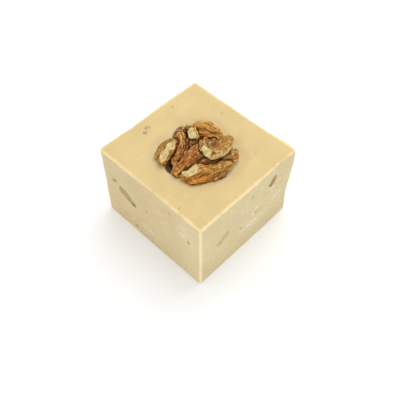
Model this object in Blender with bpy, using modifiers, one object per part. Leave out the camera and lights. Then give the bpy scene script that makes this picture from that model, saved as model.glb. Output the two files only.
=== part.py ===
"""Maple walnut fudge: a cut square of fudge, a walnut half pressed into its top, nut bits in its cut sides.

The origin is on the table under the middle of the block, and +Z is up. The corner between the -Y side and
the +X side is the one with the crispest upright edge. Lengths here are millimetres, and each finished mesh
is scaled to metres once, at the end.
"""

import math

import bmesh
import bpy
import numpy as np
from mathutils import Matrix, Vector, noise

METRES_PER_MM = 0.001

# The block: a two-inch square cut from a slab, a little narrower one way than the other.
WIDTH = 50.0
DEPTH = 48.2
HEIGHT = 33.8
RIM_RADIUS = 0.8
BASE_RADIUS = 0.5
GRID = 2.6
UPRIGHT_RADII = {(1, -1): 0.9, (-1, -1): 1.7, (1, 1): 1.4, (-1, 1): 1.1}

# Gaussian swells of the four sides: (place along the side, height, half width, half height, outward push).
# The side's own axis runs along +X on the front and back sides, along +Y on the other two.
SIDE_SWELLS = {
    "front": [(1, 34, 9, 12, -0.4), (25, 30, 6, 16, 0.3), (0, 0, 40, 14, 0.35)],
    "right": [(-24, 34, 12, 14, 0.4), (20, 34, 12, 8, -0.7), (24, 30, 5, 7, 0.7), (24, 9, 8, 12, -0.6)],
    "back": [(-12, 34, 3, 10, -0.4), (4, 34, 9, 14, -0.3), (20, 32, 5, 14, 0.5), (24, 9, 8, 12, -0.5)],
    "left": [(-9.5, 34, 3, 12, -0.5), (-2.5, 34, 3, 9, -0.3), (12, 30, 10, 14, 0.35)],
}

# Small pits and dents that break the faces: (x, y, z, radius).
PITS = [
    (19.2, -24.9, 22.0, 1.2),
    (-8.5, -24.8, 3.2, 0.8),
    (25.3, 2.5, 19.5, 1.0),
    (25.3, 4.4, 16.2, 0.9),
    (25.2, -4.0, 15.0, 0.8),
    (-20.0, -5.5, 34.3, 1.1),
    (-18.8, -7.6, 34.3, 0.9),
    (-6.5, 24.6, 12.0, 1.0),
    (-25.5, 9.0, 20.5, 1.1),
]

# The walnut half, seen from above with its cut face up. It is a folded sheet. Each fold holds ridges that
# flow into each other, and each ridge is a chain of balls:
# (x, y, height of the ball's centre over the fudge, radius).
WALNUT_FOLDS = {
    "left": {
        "left_ridge": [
            (-6.9, -3.9, 1.4, 1.4),
            (-6.1, -6.9, 1.8, 1.8),
            (-5.2, -10.2, 1.5, 1.8),
            (-4.6, -12.6, 0.7, 1.6),
        ],
        "left_flank": [(-8.9, -4.5, 0.3, 1.3), (-8.4, -8.4, 0.3, 1.8), (-7.5, -11.3, 0.0, 1.7)],
    },
    "inner": {
        "inner_ridge": [
            (-7.6, -1.1, 1.3, 1.7),
            (-5.6, -2.6, 1.3, 1.7),
            (-4.0, -5.2, 0.5, 1.6),
            (-2.8, -7.7, -0.4, 1.5),
            (-1.9, -9.1, -1.0, 1.3),
        ],
        "inner_slope": [(-4.2, -1.0, 0.1, 1.7), (-2.7, -3.8, 0.0, 1.8), (-1.3, -7.0, -0.5, 1.7)],
    },
    "valley": {
        "valley_floor": [(-2.1, 1.4, 0.6, 1.6), (-2.8, -0.7, 0.1, 1.7), (-2.1, -3.4, -0.3, 1.6)],
    },
    "rim": {
        "rim_sheet": [
            (-9.8, -1.5, -0.1, 1.1),
            (-10.5, 0.1, 0.1, 1.3),
            (-10.1, 2.2, 0.2, 1.4),
            (-8.9, 3.7, 0.4, 1.3),
        ],
    },
    "knob": {
        "back_knob": [(-5.5, 3.0, 1.9, 1.9), (-3.9, 2.0, 1.8, 1.9), (-2.4, 1.8, 0.9, 1.5)],
    },
    "hood": {
        "hood_ridge": [
            (-8.8, 4.1, 0.9, 1.4),
            (-7.0, 5.8, 1.5, 1.7),
            (-5.1, 8.0, 1.7, 1.9),
            (-2.6, 9.0, 1.6, 1.9),
            (-0.1, 9.6, 1.2, 1.7),
            (1.7, 9.5, 0.6, 1.5),
        ],
        "hood_tip": [(-6.1, 9.9, 0.5, 1.3), (-4.1, 10.6, 0.4, 1.5)],
        "hood_slope": [
            (-3.9, 5.5, 0.2, 1.8),
            (-2.1, 7.0, 0.3, 1.9),
            (-0.3, 8.2, 0.2, 1.7),
            (1.9, 8.6, 0.0, 1.5),
        ],
    },
    "high": {
        "high_left": [
            (1.2, 2.5, 3.2, 1.5),
            (2.8, 0.6, 3.5, 1.6),
            (4.8, -0.7, 3.6, 1.6),
            (6.8, -0.8, 3.7, 1.5),
            (8.1, 0.4, 3.7, 1.5),
        ],
        "high_right": [
            (8.1, 0.4, 3.7, 1.5),
            (8.4, 2.7, 3.6, 1.8),
            (8.1, 5.2, 3.4, 2.0),
            (7.1, 7.5, 2.8, 1.8),
        ],
        "high_inner": [(7.5, 2.5, 3.1, 1.5), (6.6, 4.6, 3.0, 1.7), (5.4, 6.8, 2.5, 1.8)],
        "high_top": [(4.8, 8.3, 1.8, 1.6), (6.3, 9.4, 2.0, 1.6)],
        "high_floor": [(5.6, 2.0, 1.8, 1.5), (3.7, 4.0, 1.0, 1.6), (1.9, 6.2, 0.1, 1.6)],
    },
    "root": {
        "high_root": [
            (3.8, -0.4, 1.4, 1.8),
            (6.8, 0.1, 1.6, 1.8),
            (7.9, 3.0, 1.4, 1.9),
            (7.6, 6.4, 1.0, 1.9),
        ],
    },
    "right_knob": {
        "right_knob": [(9.9, 2.7, 0.9, 1.9), (11.0, 4.5, 0.7, 1.9), (11.8, 5.9, 0.5, 1.7)],
    },
    "front": {
        "front_lobe": [
            (5.9, -11.5, 0.7, 1.8),
            (6.7, -9.9, 1.1, 2.2),
            (7.9, -7.8, 1.2, 2.3),
            (9.1, -5.9, 1.0, 2.2),
            (10.0, -4.7, 0.5, 2.0),
        ],
        "front_flank": [
            (6.9, -11.5, -0.2, 1.8),
            (8.6, -10.2, -0.3, 2.0),
            (10.2, -7.9, -0.3, 2.0),
            (11.1, -5.7, -0.3, 1.9),
        ],
        "right_lobe": [
            (11.0, -4.0, 0.5, 2.0),
            (11.7, -2.3, 0.8, 2.2),
            (12.3, 0.0, 0.9, 2.1),
            (12.7, 2.1, 0.7, 1.7),
        ],
        "right_flank": [(12.4, -4.2, -0.3, 1.8), (13.2, -1.8, -0.2, 1.8)],
    },
    "middle": {
        "middle_ridge": [
            (1.2, -0.7, 2.0, 1.7),
            (1.5, -4.5, 1.7, 2.0),
            (2.1, -8.0, 1.1, 2.1),
            (2.3, -10.9, 0.4, 1.9),
            (2.3, -12.4, -0.2, 1.5),
        ],
        "middle_side": [
            (3.6, -1.0, 1.3, 2.0),
            (3.6, -4.2, 1.0, 2.0),
            (3.5, -7.0, 0.4, 1.8),
            (3.8, -9.7, -0.2, 1.5),
        ],
    },
    "cross": {
        "cross_slope": [(4.9, -4.3, 0.1, 1.9), (6.6, -2.3, 0.3, 2.0), (8.4, -0.7, 0.3, 1.8)],
    },
}
# The rounded back of the half, sunk in the fudge: middle of the ball and its three half lengths.
WALNUT_BACK = ((1.5, -0.6, -2.6), (10.9, 10.8, 3.0))
# Flat breaks, where the skin is rubbed off and the flesh shows, by the fold that each one cuts:
# (x, y, height over the fudge, lean to +x, lean to +y, radius).
BREAKS = {
    "left": [(-5.8, -5.9, 3.05, 0.15, -0.40, 1.6), (-4.8, -10.9, 2.55, 0.10, -0.50, 2.1)],
    "knob": [(-4.7, 2.1, 3.15, -0.20, -0.45, 2.6)],
    "high": [(5.5, -1.6, 4.60, 0.05, -0.60, 2.0)],
    "front": [(7.2, -9.3, 2.80, -0.35, -0.30, 3.1)],
}
# How fast a break ends past its radius.
BREAK_END = 1.3
# How far ridges of one fold melt together, how far two folds do, and how much the ridges wander.
FOLD_BLEND = 0.9
CREASE_BLEND = 0.35
SHAKE_SIZE = 3.2
SHAKE = 0.55
# The hollow between the left ridge and the middle ridge, where the fudge stands back from the nut.
NOTCH = [(-2.2, -9.0, 0.2, 1.5), (-1.7, -11.4, -0.1, 1.6), (-1.2, -12.9, 0.4, 1.1)]

# How far the warm fudge sank towards the nut, and how far out that dip reaches.
DIP_DEPTH = 0.8
DIP_REACH = 3.6
NUT_MIDDLE = (1.6, -0.9)
NUT_HALF_LENGTHS = (12.4, 12.6)
# Deeper dents where the fudge stood back from the nut: (x, y, reach, depth).
TOP_DENTS = [(5.5, 12.5, 4.2, 0.8), (-11.6, -7.0, 3.2, 0.4), (-9.5, 9.5, 3.4, 0.4), (14.6, 8.0, 3.4, 0.4)]

# Clearance between a nut piece and its hole.
GAP = 0.3

# Nut bits cut through by the knife:
# (side, place along the side, height, half length, half height, turn in degrees).
BIT_DEPTH = 2.4
NUT_BITS = {
    "walnut_bit_front_large": ("front", -12.0, 18.2, 4.0, 3.1, 8),
    "walnut_bit_front_small": ("front", -18.5, 22.0, 1.0, 0.9, 30),
    "walnut_bit_right_brown": ("right", 12.3, 26.4, 2.4, 1.6, 52),
    "walnut_bit_right_crumb": ("right", 17.0, 23.5, 1.1, 0.9, 0),
    "walnut_bit_right_pale": ("right", -13.4, 18.0, 3.2, 1.9, 25),
    "walnut_bit_back_pale": ("back", 9.5, 22.5, 2.8, 1.8, -20),
    "walnut_bit_back_brown": ("back", -13.0, 11.5, 1.9, 1.5, 40),
    "walnut_bit_left_large": ("left", 6.5, 13.0, 3.4, 2.2, -15),
    "walnut_bit_left_brown": ("left", -12.5, 24.0, 2.0, 1.4, 60),
}

# A side's outward direction and the direction along it.
SIDE_AXES = {
    "front": (Vector((0, -1, 0)), Vector((1, 0, 0))),
    "right": (Vector((1, 0, 0)), Vector((0, 1, 0))),
    "back": (Vector((0, 1, 0)), Vector((1, 0, 0))),
    "left": (Vector((-1, 0, 0)), Vector((0, 1, 0))),
}


def clear_scene():
    for obj in list(bpy.data.objects):
        bpy.data.objects.remove(obj, do_unlink=True)


def new_collection(name):
    collection = bpy.data.collections.new(name)
    bpy.context.scene.collection.children.link(collection)
    return collection


def material(name, colour, roughness):
    made = bpy.data.materials.new(name)
    made.use_nodes = True
    shader = made.node_tree.nodes["Principled BSDF"]
    shader.inputs["Base Color"].default_value = (*colour, 1.0)
    shader.inputs["Roughness"].default_value = roughness
    shader.inputs["Metallic"].default_value = 0.0
    made.diffuse_color = (*colour, 1.0)
    return made


def finish(name, bm, collection, surface=None, smooth=True):
    """Turns a millimetre bmesh into an object in metres."""
    bmesh.ops.scale(bm, vec=Vector((METRES_PER_MM,) * 3), verts=bm.verts)
    bmesh.ops.recalc_face_normals(bm, faces=bm.faces)
    mesh = bpy.data.meshes.new(name)
    bm.to_mesh(mesh)
    bm.free()
    obj = bpy.data.objects.new(name, mesh)
    collection.objects.link(obj)
    if surface:
        mesh.materials.append(surface)
    if smooth:
        mesh.polygons.foreach_set("use_smooth", [True] * len(mesh.polygons))
    return obj


def mark_cutter(obj):
    obj.hide_render = True
    obj.display_type = "WIRE"


def cut(target, cutter):
    modifier = target.modifiers.new(f"cut {cutter.name}", "BOOLEAN")
    modifier.operation = "DIFFERENCE"
    modifier.solver = "EXACT"
    modifier.object = cutter


# ---- the fudge block


def swell(side, along, height):
    """Outward push of a side at one place: the sum of its Gaussian swells."""
    total = 0.0
    for at, up, half_width, half_height, push in SIDE_SWELLS[side]:
        reach = ((along - at) / half_width) ** 2 + ((height - up) / half_height) ** 2
        total += push * math.exp(-reach)
    return total


def dip(x, y):
    """Depth of the top's dip near the nut, and of the deeper dents in it."""
    across = (x - NUT_MIDDLE[0]) / NUT_HALF_LENGTHS[0]
    deep = (y - NUT_MIDDLE[1]) / NUT_HALF_LENGTHS[1]
    outside = (math.hypot(across, deep) - 1.0) * NUT_HALF_LENGTHS[0]
    near = min(1.0, max(0.0, 1.0 - outside / DIP_REACH))
    total = DIP_DEPTH * near * near * (3.0 - 2.0 * near)
    for at_x, at_y, reach, depth in TOP_DENTS:
        total += depth * math.exp(-((x - at_x) ** 2 + (y - at_y) ** 2) / reach**2)
    return total


def bevel_upright_edges(bm):
    for (side_x, side_y), radius in UPRIGHT_RADII.items():
        corner = [
            edge
            for edge in bm.edges
            if all(v.co.x * side_x > 0.49 * WIDTH and v.co.y * side_y > 0.49 * DEPTH for v in edge.verts)
            and abs(edge.verts[0].co.z - edge.verts[1].co.z) > 1.0
        ]
        bmesh.ops.bevel(bm, geom=corner, offset=radius, segments=3, profile=0.5, affect="EDGES", material=-1)


def bevel_rim(bm, height, radius, segments):
    rim = [edge for edge in bm.edges if all(abs(v.co.z - height) < 1e-4 for v in edge.verts)]
    bmesh.ops.bevel(bm, geom=rim, offset=radius, segments=segments, profile=0.5, affect="EDGES", material=-1)


def slice_grid(bm):
    """Cuts the walls and the top into a grid, so that the swells and the dip have points to move."""
    for axis, length in enumerate((WIDTH, DEPTH, HEIGHT)):
        count = round(length / GRID)
        low = 0.0 if axis == 2 else -length / 2
        for step in range(1, count):
            place = Vector()
            place[axis] = low + length * step / count
            direction = Vector()
            direction[axis] = 1.0
            everything = bm.verts[:] + bm.edges[:] + bm.faces[:]
            bmesh.ops.bisect_plane(bm, geom=everything, plane_co=place, plane_no=direction)


def shape_block(bm):
    for vertex in bm.verts:
        x, y, z = vertex.co
        for side, (outward, along) in SIDE_AXES.items():
            reach = WIDTH / 2 if outward.x else DEPTH / 2
            nearness = min(1.0, max(0.0, vertex.co.dot(outward) / reach - 0.8) / 0.2)
            vertex.co += outward * nearness * swell(side, x * along.x + y * along.y, z)
        if z > HEIGHT - 0.05:
            vertex.co.z -= dip(x, y)


def fudge_block(collection, surface):
    bm = bmesh.new()
    bmesh.ops.create_cube(bm, size=1.0)
    bmesh.ops.scale(bm, vec=Vector((WIDTH, DEPTH, HEIGHT)), verts=bm.verts)
    bmesh.ops.translate(bm, vec=Vector((0, 0, HEIGHT / 2)), verts=bm.verts)
    bevel_upright_edges(bm)
    bevel_rim(bm, HEIGHT, RIM_RADIUS, 3)
    bevel_rim(bm, 0.0, BASE_RADIUS, 1)
    slice_grid(bm)
    shape_block(bm)
    bottom = [face for face in bm.faces if all(abs(v.co.z) < 1e-4 for v in face.verts)]
    bmesh.ops.dissolve_faces(bm, faces=bottom)
    bmesh.ops.triangulate(bm, faces=bm.faces)
    return finish("fudge_block", bm, collection, surface)


# ---- the walnut half


def along_chain(points, spacing):
    """Balls on a smooth path through the chain, as rows of (x, y, z, radius)."""
    rows = [np.array(point) for point in points]
    rows = [2 * rows[0] - rows[1], *rows, 2 * rows[-1] - rows[-2]]
    made = [rows[1]]
    for before, start, end, after in zip(rows, rows[1:], rows[2:], rows[3:]):
        steps = max(1, math.ceil(np.linalg.norm(end - start) / (spacing * start[3])))
        for step in range(1, steps + 1):
            t = step / steps
            bend = 2 * before - 5 * start + 4 * end - after
            twist = 3 * start - before - 3 * end + after
            made.append(0.5 * (2 * start + (end - before) * t + bend * t**2 + twist * t**3))
    made = np.array(made)
    made[:, 2] += HEIGHT
    return made


def smooth_min(first, second, blend):
    share = np.clip(0.5 + 0.5 * (second - first) / blend, 0.0, 1.0)
    return second * (1 - share) + first * share - blend * share * (1 - share)


def break_distance(points, breaks):
    """How far each point is outside the break planes, which bend away past their radius."""
    reaches = [np.full(len(points), -9.0)]
    for x, y, height, lean_x, lean_y, radius in breaks:
        outward = np.array([lean_x, lean_y, 1.0])
        outward /= np.linalg.norm(outward)
        offset = points - np.array([x, y, HEIGHT + height])
        out = offset @ outward
        sideways = np.linalg.norm(offset - out[:, None] * outward, axis=1)
        reaches.append(out - BREAK_END * np.maximum(0.0, sideways - radius))
    return np.max(reaches, axis=0)


def fold_distance(points, ridges, breaks):
    """Distance to one fold: its ridges melted together, less its flat breaks."""
    total = None
    for rows in ridges:
        reach = (np.linalg.norm(points[:, None, :] - rows[None, :, :3], axis=2) - rows[:, 3]).min(axis=1)
        total = reach if total is None else smooth_min(total, reach, FOLD_BLEND)
    return -smooth_min(-total, -break_distance(points, breaks), 0.1)


def back_distance(points):
    middle, half_lengths = (np.array(part) for part in WALNUT_BACK)
    scaled = (points - middle - (0, 0, HEIGHT)) / half_lengths
    return (np.linalg.norm(scaled, axis=1) - 1.0) * half_lengths.min()


def walnut_distance(points, folds):
    total = back_distance(points)
    for ridges, breaks in folds:
        total = smooth_min(total, fold_distance(points, ridges, breaks), CREASE_BLEND)
    return total


def shake(points):
    """A small wandering push at each point, since nothing in a nut is straight."""
    columns = []
    for seed in (1.0, 21.0, 41.0):
        shift = Vector((seed, 0.7 * seed, -0.4 * seed))
        places = (Vector(point) / SHAKE_SIZE + shift for point in points)
        columns.append([SHAKE * noise.fractal(place, 1.0, 2.0, 2) for place in places])
    return np.array(columns).T


def settle(points, folds, level):
    """Slides points along the slope of the distance until it reads the level."""
    shaken = shake(points)
    for _ in range(3):
        here = walnut_distance(points + shaken, folds)
        slope = [(walnut_distance(points + shaken + 0.02 * axis, folds) - here) / 0.02 for axis in np.eye(3)]
        slope = np.array(slope).T
        steep = np.maximum((slope**2).sum(axis=1), 0.25)
        points = points - np.clip((here - level) / steep, -0.5, 0.5)[:, None] * slope
    return points


def joined_balls(folds, swollen, voxel):
    """One closed skin around all the balls and the sunk back, as a millimetre bmesh."""
    bm = bmesh.new()
    for ridges, _ in folds:
        for x, y, z, radius in np.concatenate(ridges):
            place = Matrix.Translation((x, y, z))
            bmesh.ops.create_icosphere(bm, subdivisions=2, radius=radius + swollen, matrix=place)
    (x, y, height), half_lengths = WALNUT_BACK
    stretch = Matrix.Diagonal((*(length + swollen for length in half_lengths), 1.0))
    place = Matrix.Translation((x, y, HEIGHT + height)) @ stretch
    bmesh.ops.create_icosphere(bm, subdivisions=4, radius=1.0, matrix=place)
    mesh = bpy.data.meshes.new("balls")
    bm.to_mesh(mesh)
    bm.free()
    balls = bpy.data.objects.new("balls", mesh)
    bpy.context.scene.collection.objects.link(balls)
    remesh = balls.modifiers.new("join", "REMESH")
    remesh.mode = "VOXEL"
    remesh.voxel_size = voxel
    soften = balls.modifiers.new("soften", "SMOOTH")
    soften.iterations = 2
    graph = bpy.context.evaluated_depsgraph_get()
    skin = bmesh.new()
    skin.from_mesh(balls.evaluated_get(graph).to_mesh())
    bpy.data.objects.remove(balls)
    return skin


def walnut(name, level, extra_folds, voxel, ratio, collection, surface=None):
    """The walnut half at level 0, or the hole around it at the level of the gap."""
    folds = [
        ([along_chain(points, 0.35) for points in ridges.values()], () if level else BREAKS.get(fold, ()))
        for fold, ridges in {**WALNUT_FOLDS, **extra_folds}.items()
    ]
    bm = joined_balls(folds, level, voxel)
    settled = settle(np.array([vertex.co for vertex in bm.verts]), folds, level)
    for vertex, point in zip(bm.verts, settled):
        vertex.co = point
    obj = finish(name, bm, collection, surface)
    thin = obj.modifiers.new("thin", "DECIMATE")
    thin.ratio = ratio
    return obj


# ---- the nut bits in the cut sides


def side_point(side, along, height):
    """A point on a side's swollen face."""
    outward, direction = SIDE_AXES[side]
    reach = WIDTH / 2 if outward.x else DEPTH / 2
    return outward * (reach + swell(side, along, height)) + direction * along + Vector((0, 0, height))


def nut_bit(name, swollen, collection, surface=None):
    """A lumpy pebble with one flat cut face, flush with its side of the block.

    Swollen, it is the hole that the bit sits in.
    """
    side, along, height, half_length, half_height, turn = NUT_BITS[name]
    outward, direction = SIDE_AXES[side]
    bm = bmesh.new()
    bmesh.ops.create_icosphere(bm, subdivisions=2, radius=1.0)
    for vertex in bm.verts:
        around = math.atan2(vertex.co.y, vertex.co.x)
        lump = 1.0 + 0.10 * math.cos(3 * around + along) + 0.06 * math.sin(5 * around + height)
        vertex.co.x *= lump * half_length + swollen
        vertex.co.y *= lump * half_height + swollen
        vertex.co.z *= BIT_DEPTH + swollen
    spin = Matrix.Rotation(math.radians(turn), 4, "Z")
    frame = Matrix((direction, Vector((0, 0, 1)), outward)).transposed().to_4x4()
    face = side_point(side, along, height)
    bmesh.ops.transform(bm, matrix=Matrix.Translation(face) @ frame @ spin, verts=bm.verts)
    if swollen:
        return finish(f"{name}_hole", bm, collection)
    everything = bm.verts[:] + bm.edges[:] + bm.faces[:]
    made = bmesh.ops.bisect_plane(bm, geom=everything, plane_co=face, plane_no=outward, clear_outer=True)
    rim = [item for item in made["geom_cut"] if isinstance(item, bmesh.types.BMEdge)]
    bmesh.ops.contextual_create(bm, geom=rim)
    bmesh.ops.triangulate(bm, faces=bm.faces)
    return finish(name, bm, collection, surface, smooth=False)


def pit_cutter(collection):
    bm = bmesh.new()
    for x, y, z, radius in PITS:
        bmesh.ops.create_icosphere(bm, subdivisions=2, radius=radius, matrix=Matrix.Translation((x, y, z)))
    return finish("pits", bm, collection)


def main():
    clear_scene()
    fudge = material("fudge", (0.80, 0.62, 0.36), 0.55)
    nut_skin = material("walnut", (0.42, 0.20, 0.07), 0.5)
    nut_flesh = material("walnut_flesh", (0.62, 0.47, 0.26), 0.6)

    parts = new_collection("maple_walnut_fudge")
    cutters = new_collection("cutters")

    block = fudge_block(parts, fudge)
    walnut("walnut_half", 0.0, {}, 0.40, 0.18, parts, nut_skin)
    hole = walnut("walnut_hole", GAP + 0.1, {"notch": {"notch": NOTCH}}, 0.55, 0.14, cutters)
    mark_cutter(hole)
    cut(block, hole)

    for name in NUT_BITS:
        nut_bit(name, 0.0, parts, nut_flesh)
        pocket = nut_bit(name, GAP, cutters)
        mark_cutter(pocket)
        cut(block, pocket)

    pits = pit_cutter(cutters)
    mark_cutter(pits)
    cut(block, pits)


main()
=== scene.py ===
# %% [markdown]
# # Maple walnut fudge
#
# This lesson dresses one square of maple fudge. The imported solids give every place and size. They come in
# first, and nothing later moves or resizes them. The box that they fill is kept.

# %% Load the frame
import math

import bmesh
import bpy
import numpy as np
from mathutils import Matrix, Vector, noise
from mathutils.bvhtree import BVHTree


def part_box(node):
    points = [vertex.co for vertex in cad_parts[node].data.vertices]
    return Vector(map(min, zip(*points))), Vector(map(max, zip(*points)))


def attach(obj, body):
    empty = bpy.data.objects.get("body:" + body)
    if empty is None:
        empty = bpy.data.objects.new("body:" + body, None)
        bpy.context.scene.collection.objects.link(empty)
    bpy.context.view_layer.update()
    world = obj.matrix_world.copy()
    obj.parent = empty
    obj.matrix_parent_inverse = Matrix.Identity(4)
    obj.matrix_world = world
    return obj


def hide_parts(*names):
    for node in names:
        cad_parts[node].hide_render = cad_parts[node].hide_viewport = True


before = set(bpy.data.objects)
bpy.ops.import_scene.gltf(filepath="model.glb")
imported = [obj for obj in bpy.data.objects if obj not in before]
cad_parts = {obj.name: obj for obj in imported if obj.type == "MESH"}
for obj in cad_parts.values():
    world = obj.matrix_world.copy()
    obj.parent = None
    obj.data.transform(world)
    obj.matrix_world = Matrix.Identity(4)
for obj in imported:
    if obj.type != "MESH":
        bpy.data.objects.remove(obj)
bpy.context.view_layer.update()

MM = 0.001
print("solids:", sorted(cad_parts))

# %% [markdown]
# ## Where the block is
#
# The block is a slab of fudge that a knife cut on four sides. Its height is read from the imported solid, so a
# change to the solid reaches every piece here. Work goes on in millimetres, which suit a sweet of this size,
# and each mesh is scaled to metres when it is finished.

# %% Sizes in millimetres
TOP = (Vector(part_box("fudge_block")[1]) / MM).z
WIDTH = 50.0
DEPTH = 48.2
RIM_RADIUS = 0.8
BASE_RADIUS = 0.5
UPRIGHT_RADII = {(1, -1): 0.9, (-1, -1): 1.7, (1, 1): 1.4, (-1, 1): 1.1}
print("top of the fudge at", round(TOP, 2), "mm, sides", WIDTH, "by", DEPTH)


# %% [markdown]
# ## A short language for finishes
#
# Procedural finishes are sums: a bit of noise times a strength, added to a colour. Built node by node in the
# editor they are slow to read, so a small class wraps one output socket, and Python's own +, - and * add the
# Math nodes. Anything else goes through one method that takes the node's type, its settings and its inputs.
# What recurs, such as noise, a mix of two colours and a stack of bumps, has a short method of its own.


# %% Sums of sockets
class Field:
    """A number or colour that varies over a surface: one output socket of a node tree."""

    def __init__(self, finish, socket):
        self.finish = finish
        self.socket = socket

    def maths(self, operation, *inputs):
        return self.finish.node("ShaderNodeMath", {"operation": operation}, dict(enumerate(inputs)))

    def __add__(self, other):
        return self.maths("ADD", self, other)

    __radd__ = __add__

    def __mul__(self, other):
        return self.maths("MULTIPLY", self, other)

    __rmul__ = __mul__

    def __sub__(self, other):
        return self.maths("SUBTRACT", self, other)

    def __rsub__(self, other):
        return self.maths("SUBTRACT", other, self)

    def between(self, low, high):
        """0 below low, 1 above high, smooth between. Low may be the larger one."""
        inputs = {"Value": self, "From Min": low, "From Max": high}
        return self.finish.node("ShaderNodeMapRange", {"interpolation_type": "SMOOTHSTEP"}, inputs)


class Finish:
    """A material being built."""

    def __init__(self, name):
        self.material = bpy.data.materials.new(name)
        self.material.use_nodes = True
        self.tree = self.material.node_tree
        self.shader = self.tree.nodes["Principled BSDF"]

    def node(self, kind, settings=None, inputs=None, output=0):
        made = self.tree.nodes.new(kind)
        for key, value in (settings or {}).items():
            setattr(made, key, value)
        for key, value in (inputs or {}).items():
            self.feed(made.inputs[key], value)
        return Field(self, made.outputs[output])

    def feed(self, socket, value):
        if isinstance(value, Field):
            self.tree.links.new(value.socket, socket)
        elif isinstance(value, tuple) and socket.type == "RGBA":
            socket.default_value = (*value, 1.0)
        else:
            socket.default_value = value

    def attribute(self, name, output="Fac"):
        return self.node("ShaderNodeAttribute", {"attribute_name": name}, output=output)

    def attributes(self, *names):
        return [self.attribute(name) for name in names]

    def stretched(self, scale, turn=(0.0, 0.0, 0.0)):
        """Object coordinates in millimetres, stretched so that a pattern runs longer one way."""
        place = self.node("ShaderNodeTexCoord", output="Object")
        scale = tuple(value / MM for value in scale)
        return self.node("ShaderNodeMapping", None, {"Vector": place, "Scale": scale, "Rotation": turn})

    def noise(self, size, detail=3.0, roughness=0.5, where=None):
        """Soft noise from 0 to 1, whose blotches are about size millimetres across."""
        where = where or self.stretched((1.0, 1.0, 1.0))
        inputs = {"Vector": where, "Scale": 1.0 / size, "Detail": detail, "Roughness": roughness}
        return self.node("ShaderNodeTexNoise", {"noise_dimensions": "3D"}, inputs)

    def mix(self, factor, first, second):
        """The first colour where the factor is 0, the second where it is 1."""
        settings = {"data_type": "RGBA", "clamp_factor": True}
        return self.node("ShaderNodeMix", settings, {0: factor, 6: first, 7: second}, output=2)

    def bumps(self, *layers):
        """Stacks bump layers, each (height field, depth in millimetres)."""
        normal = None
        for height, depth in layers:
            inputs = {"Height": height, "Distance": depth * MM, "Strength": 1.0}
            if normal:
                inputs["Normal"] = normal
            normal = self.node("ShaderNodeBump", None, inputs)
        return normal

    def surface(self, **inputs):
        """Sets or feeds the shader's own sockets, named with _ for each space, and gives the material."""
        for key, value in inputs.items():
            self.feed(self.shader.inputs[key.replace("_", " ")], value)
        return self.material


def srgb(red, green, blue):
    """A colour as screens number it, 0 to 255, turned into the linear numbers that shaders use."""
    parts = (value / 255.0 for value in (red, green, blue))
    return tuple(p / 12.92 if p <= 0.04045 else ((p + 0.055) / 1.055) ** 2.4 for p in parts)


print("finish helpers ready")

# %% [markdown]
# ## The camera
#
# The block is seen from above one of its upright edges, so the whole top and two cut sides show. The camera
# stands at a turn, a rise and a distance from the point that it looks at, because each of those can be
# changed alone. Its focal length is counted in pixels of the finished frame, while a lens wants millimetres
# of its sensor, so the one is turned into the other.

# %% Camera
CAMERA_TARGET = Vector((4.99, -3.92, 12.5))
CAMERA_TURN = 44.33
CAMERA_RISE = 53.68
CAMERA_DISTANCE = 216.8
CAMERA_FOCAL_PIXELS = 582.2
FRAME_PIXELS = 400
SENSOR_WIDTH = 36.0


def direction_from(turn, rise):
    """The unit vector that points out at these two angles, in degrees."""
    turn, rise = math.radians(turn), math.radians(rise)
    return Vector((math.sin(turn) * math.cos(rise), -math.cos(turn) * math.cos(rise), math.sin(rise)))


def aim(obj, place, target):
    obj.location = place * MM
    obj.rotation_euler = (place - target).to_track_quat("Z", "Y").to_euler()
    bpy.context.scene.collection.objects.link(obj)


lens = bpy.data.cameras.new("camera")
lens.sensor_width = SENSOR_WIDTH
lens.lens = SENSOR_WIDTH * CAMERA_FOCAL_PIXELS / FRAME_PIXELS
lens.clip_start = 0.005
camera = bpy.data.objects.new("camera", lens)
aim(camera, CAMERA_TARGET + direction_from(CAMERA_TURN, CAMERA_RISE) * CAMERA_DISTANCE, CAMERA_TARGET)
bpy.context.scene.camera = camera
print("lens", round(lens.lens, 1), "mm")

# %% [markdown]
# ## Paper floor and soft lights
#
# The block stands on white paper under a bright, even sky. One broad lamp behind it gives the top its sheen,
# a warm weak lamp lights the left face and a cool weak one the right face. The paper glows a little itself,
# as lit paper does from below, so the shadow round the block stays pale.

# %% Floor
FLOOR_HALF = 600.0
PAPER_GLOW = 0.13


def paper_finish():
    glow = {"Emission_Color": (1.0, 1.0, 1.0), "Emission_Strength": PAPER_GLOW}
    return Finish("floor_paper").surface(Base_Color=(0.90, 0.91, 0.92), Roughness=0.9, **glow)


def make_floor():
    bm = bmesh.new()
    bmesh.ops.create_grid(bm, x_segments=1, y_segments=1, size=FLOOR_HALF * MM)
    mesh = bpy.data.meshes.new("floor")
    bm.to_mesh(mesh)
    bm.free()
    mesh.materials.append(paper_finish())
    floor = bpy.data.objects.new("floor", mesh)
    bpy.context.scene.collection.objects.link(floor)


make_floor()
print("paper", 2 * FLOOR_HALF, "mm across")

# %% Lights
SKY_STRENGTH = 0.80
LAMP_DISTANCE = 420.0
LAMP_TARGET = Vector((0.0, 0.0, 15.0))
# Turn and rise in degrees, width in mm, watts, colour.
LAMPS = {
    "broad_lamp": (200, 62, 380.0, 0.66, (1.0, 0.99, 0.97)),
    "front_fill": (8, 20, 240.0, 0.09, (1.0, 0.92, 0.78)),
    "right_fill": (88, 20, 240.0, 0.20, (0.68, 0.88, 1.0)),
}


def make_lamp(name, turn, rise, width, watts, colour):
    lamp = bpy.data.lights.new(name, "AREA")
    lamp.shape = "DISK"
    lamp.size = width * MM
    lamp.energy = watts
    lamp.color = colour
    aim(bpy.data.objects.new(name, lamp), direction_from(turn, rise) * LAMP_DISTANCE, LAMP_TARGET)


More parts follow.
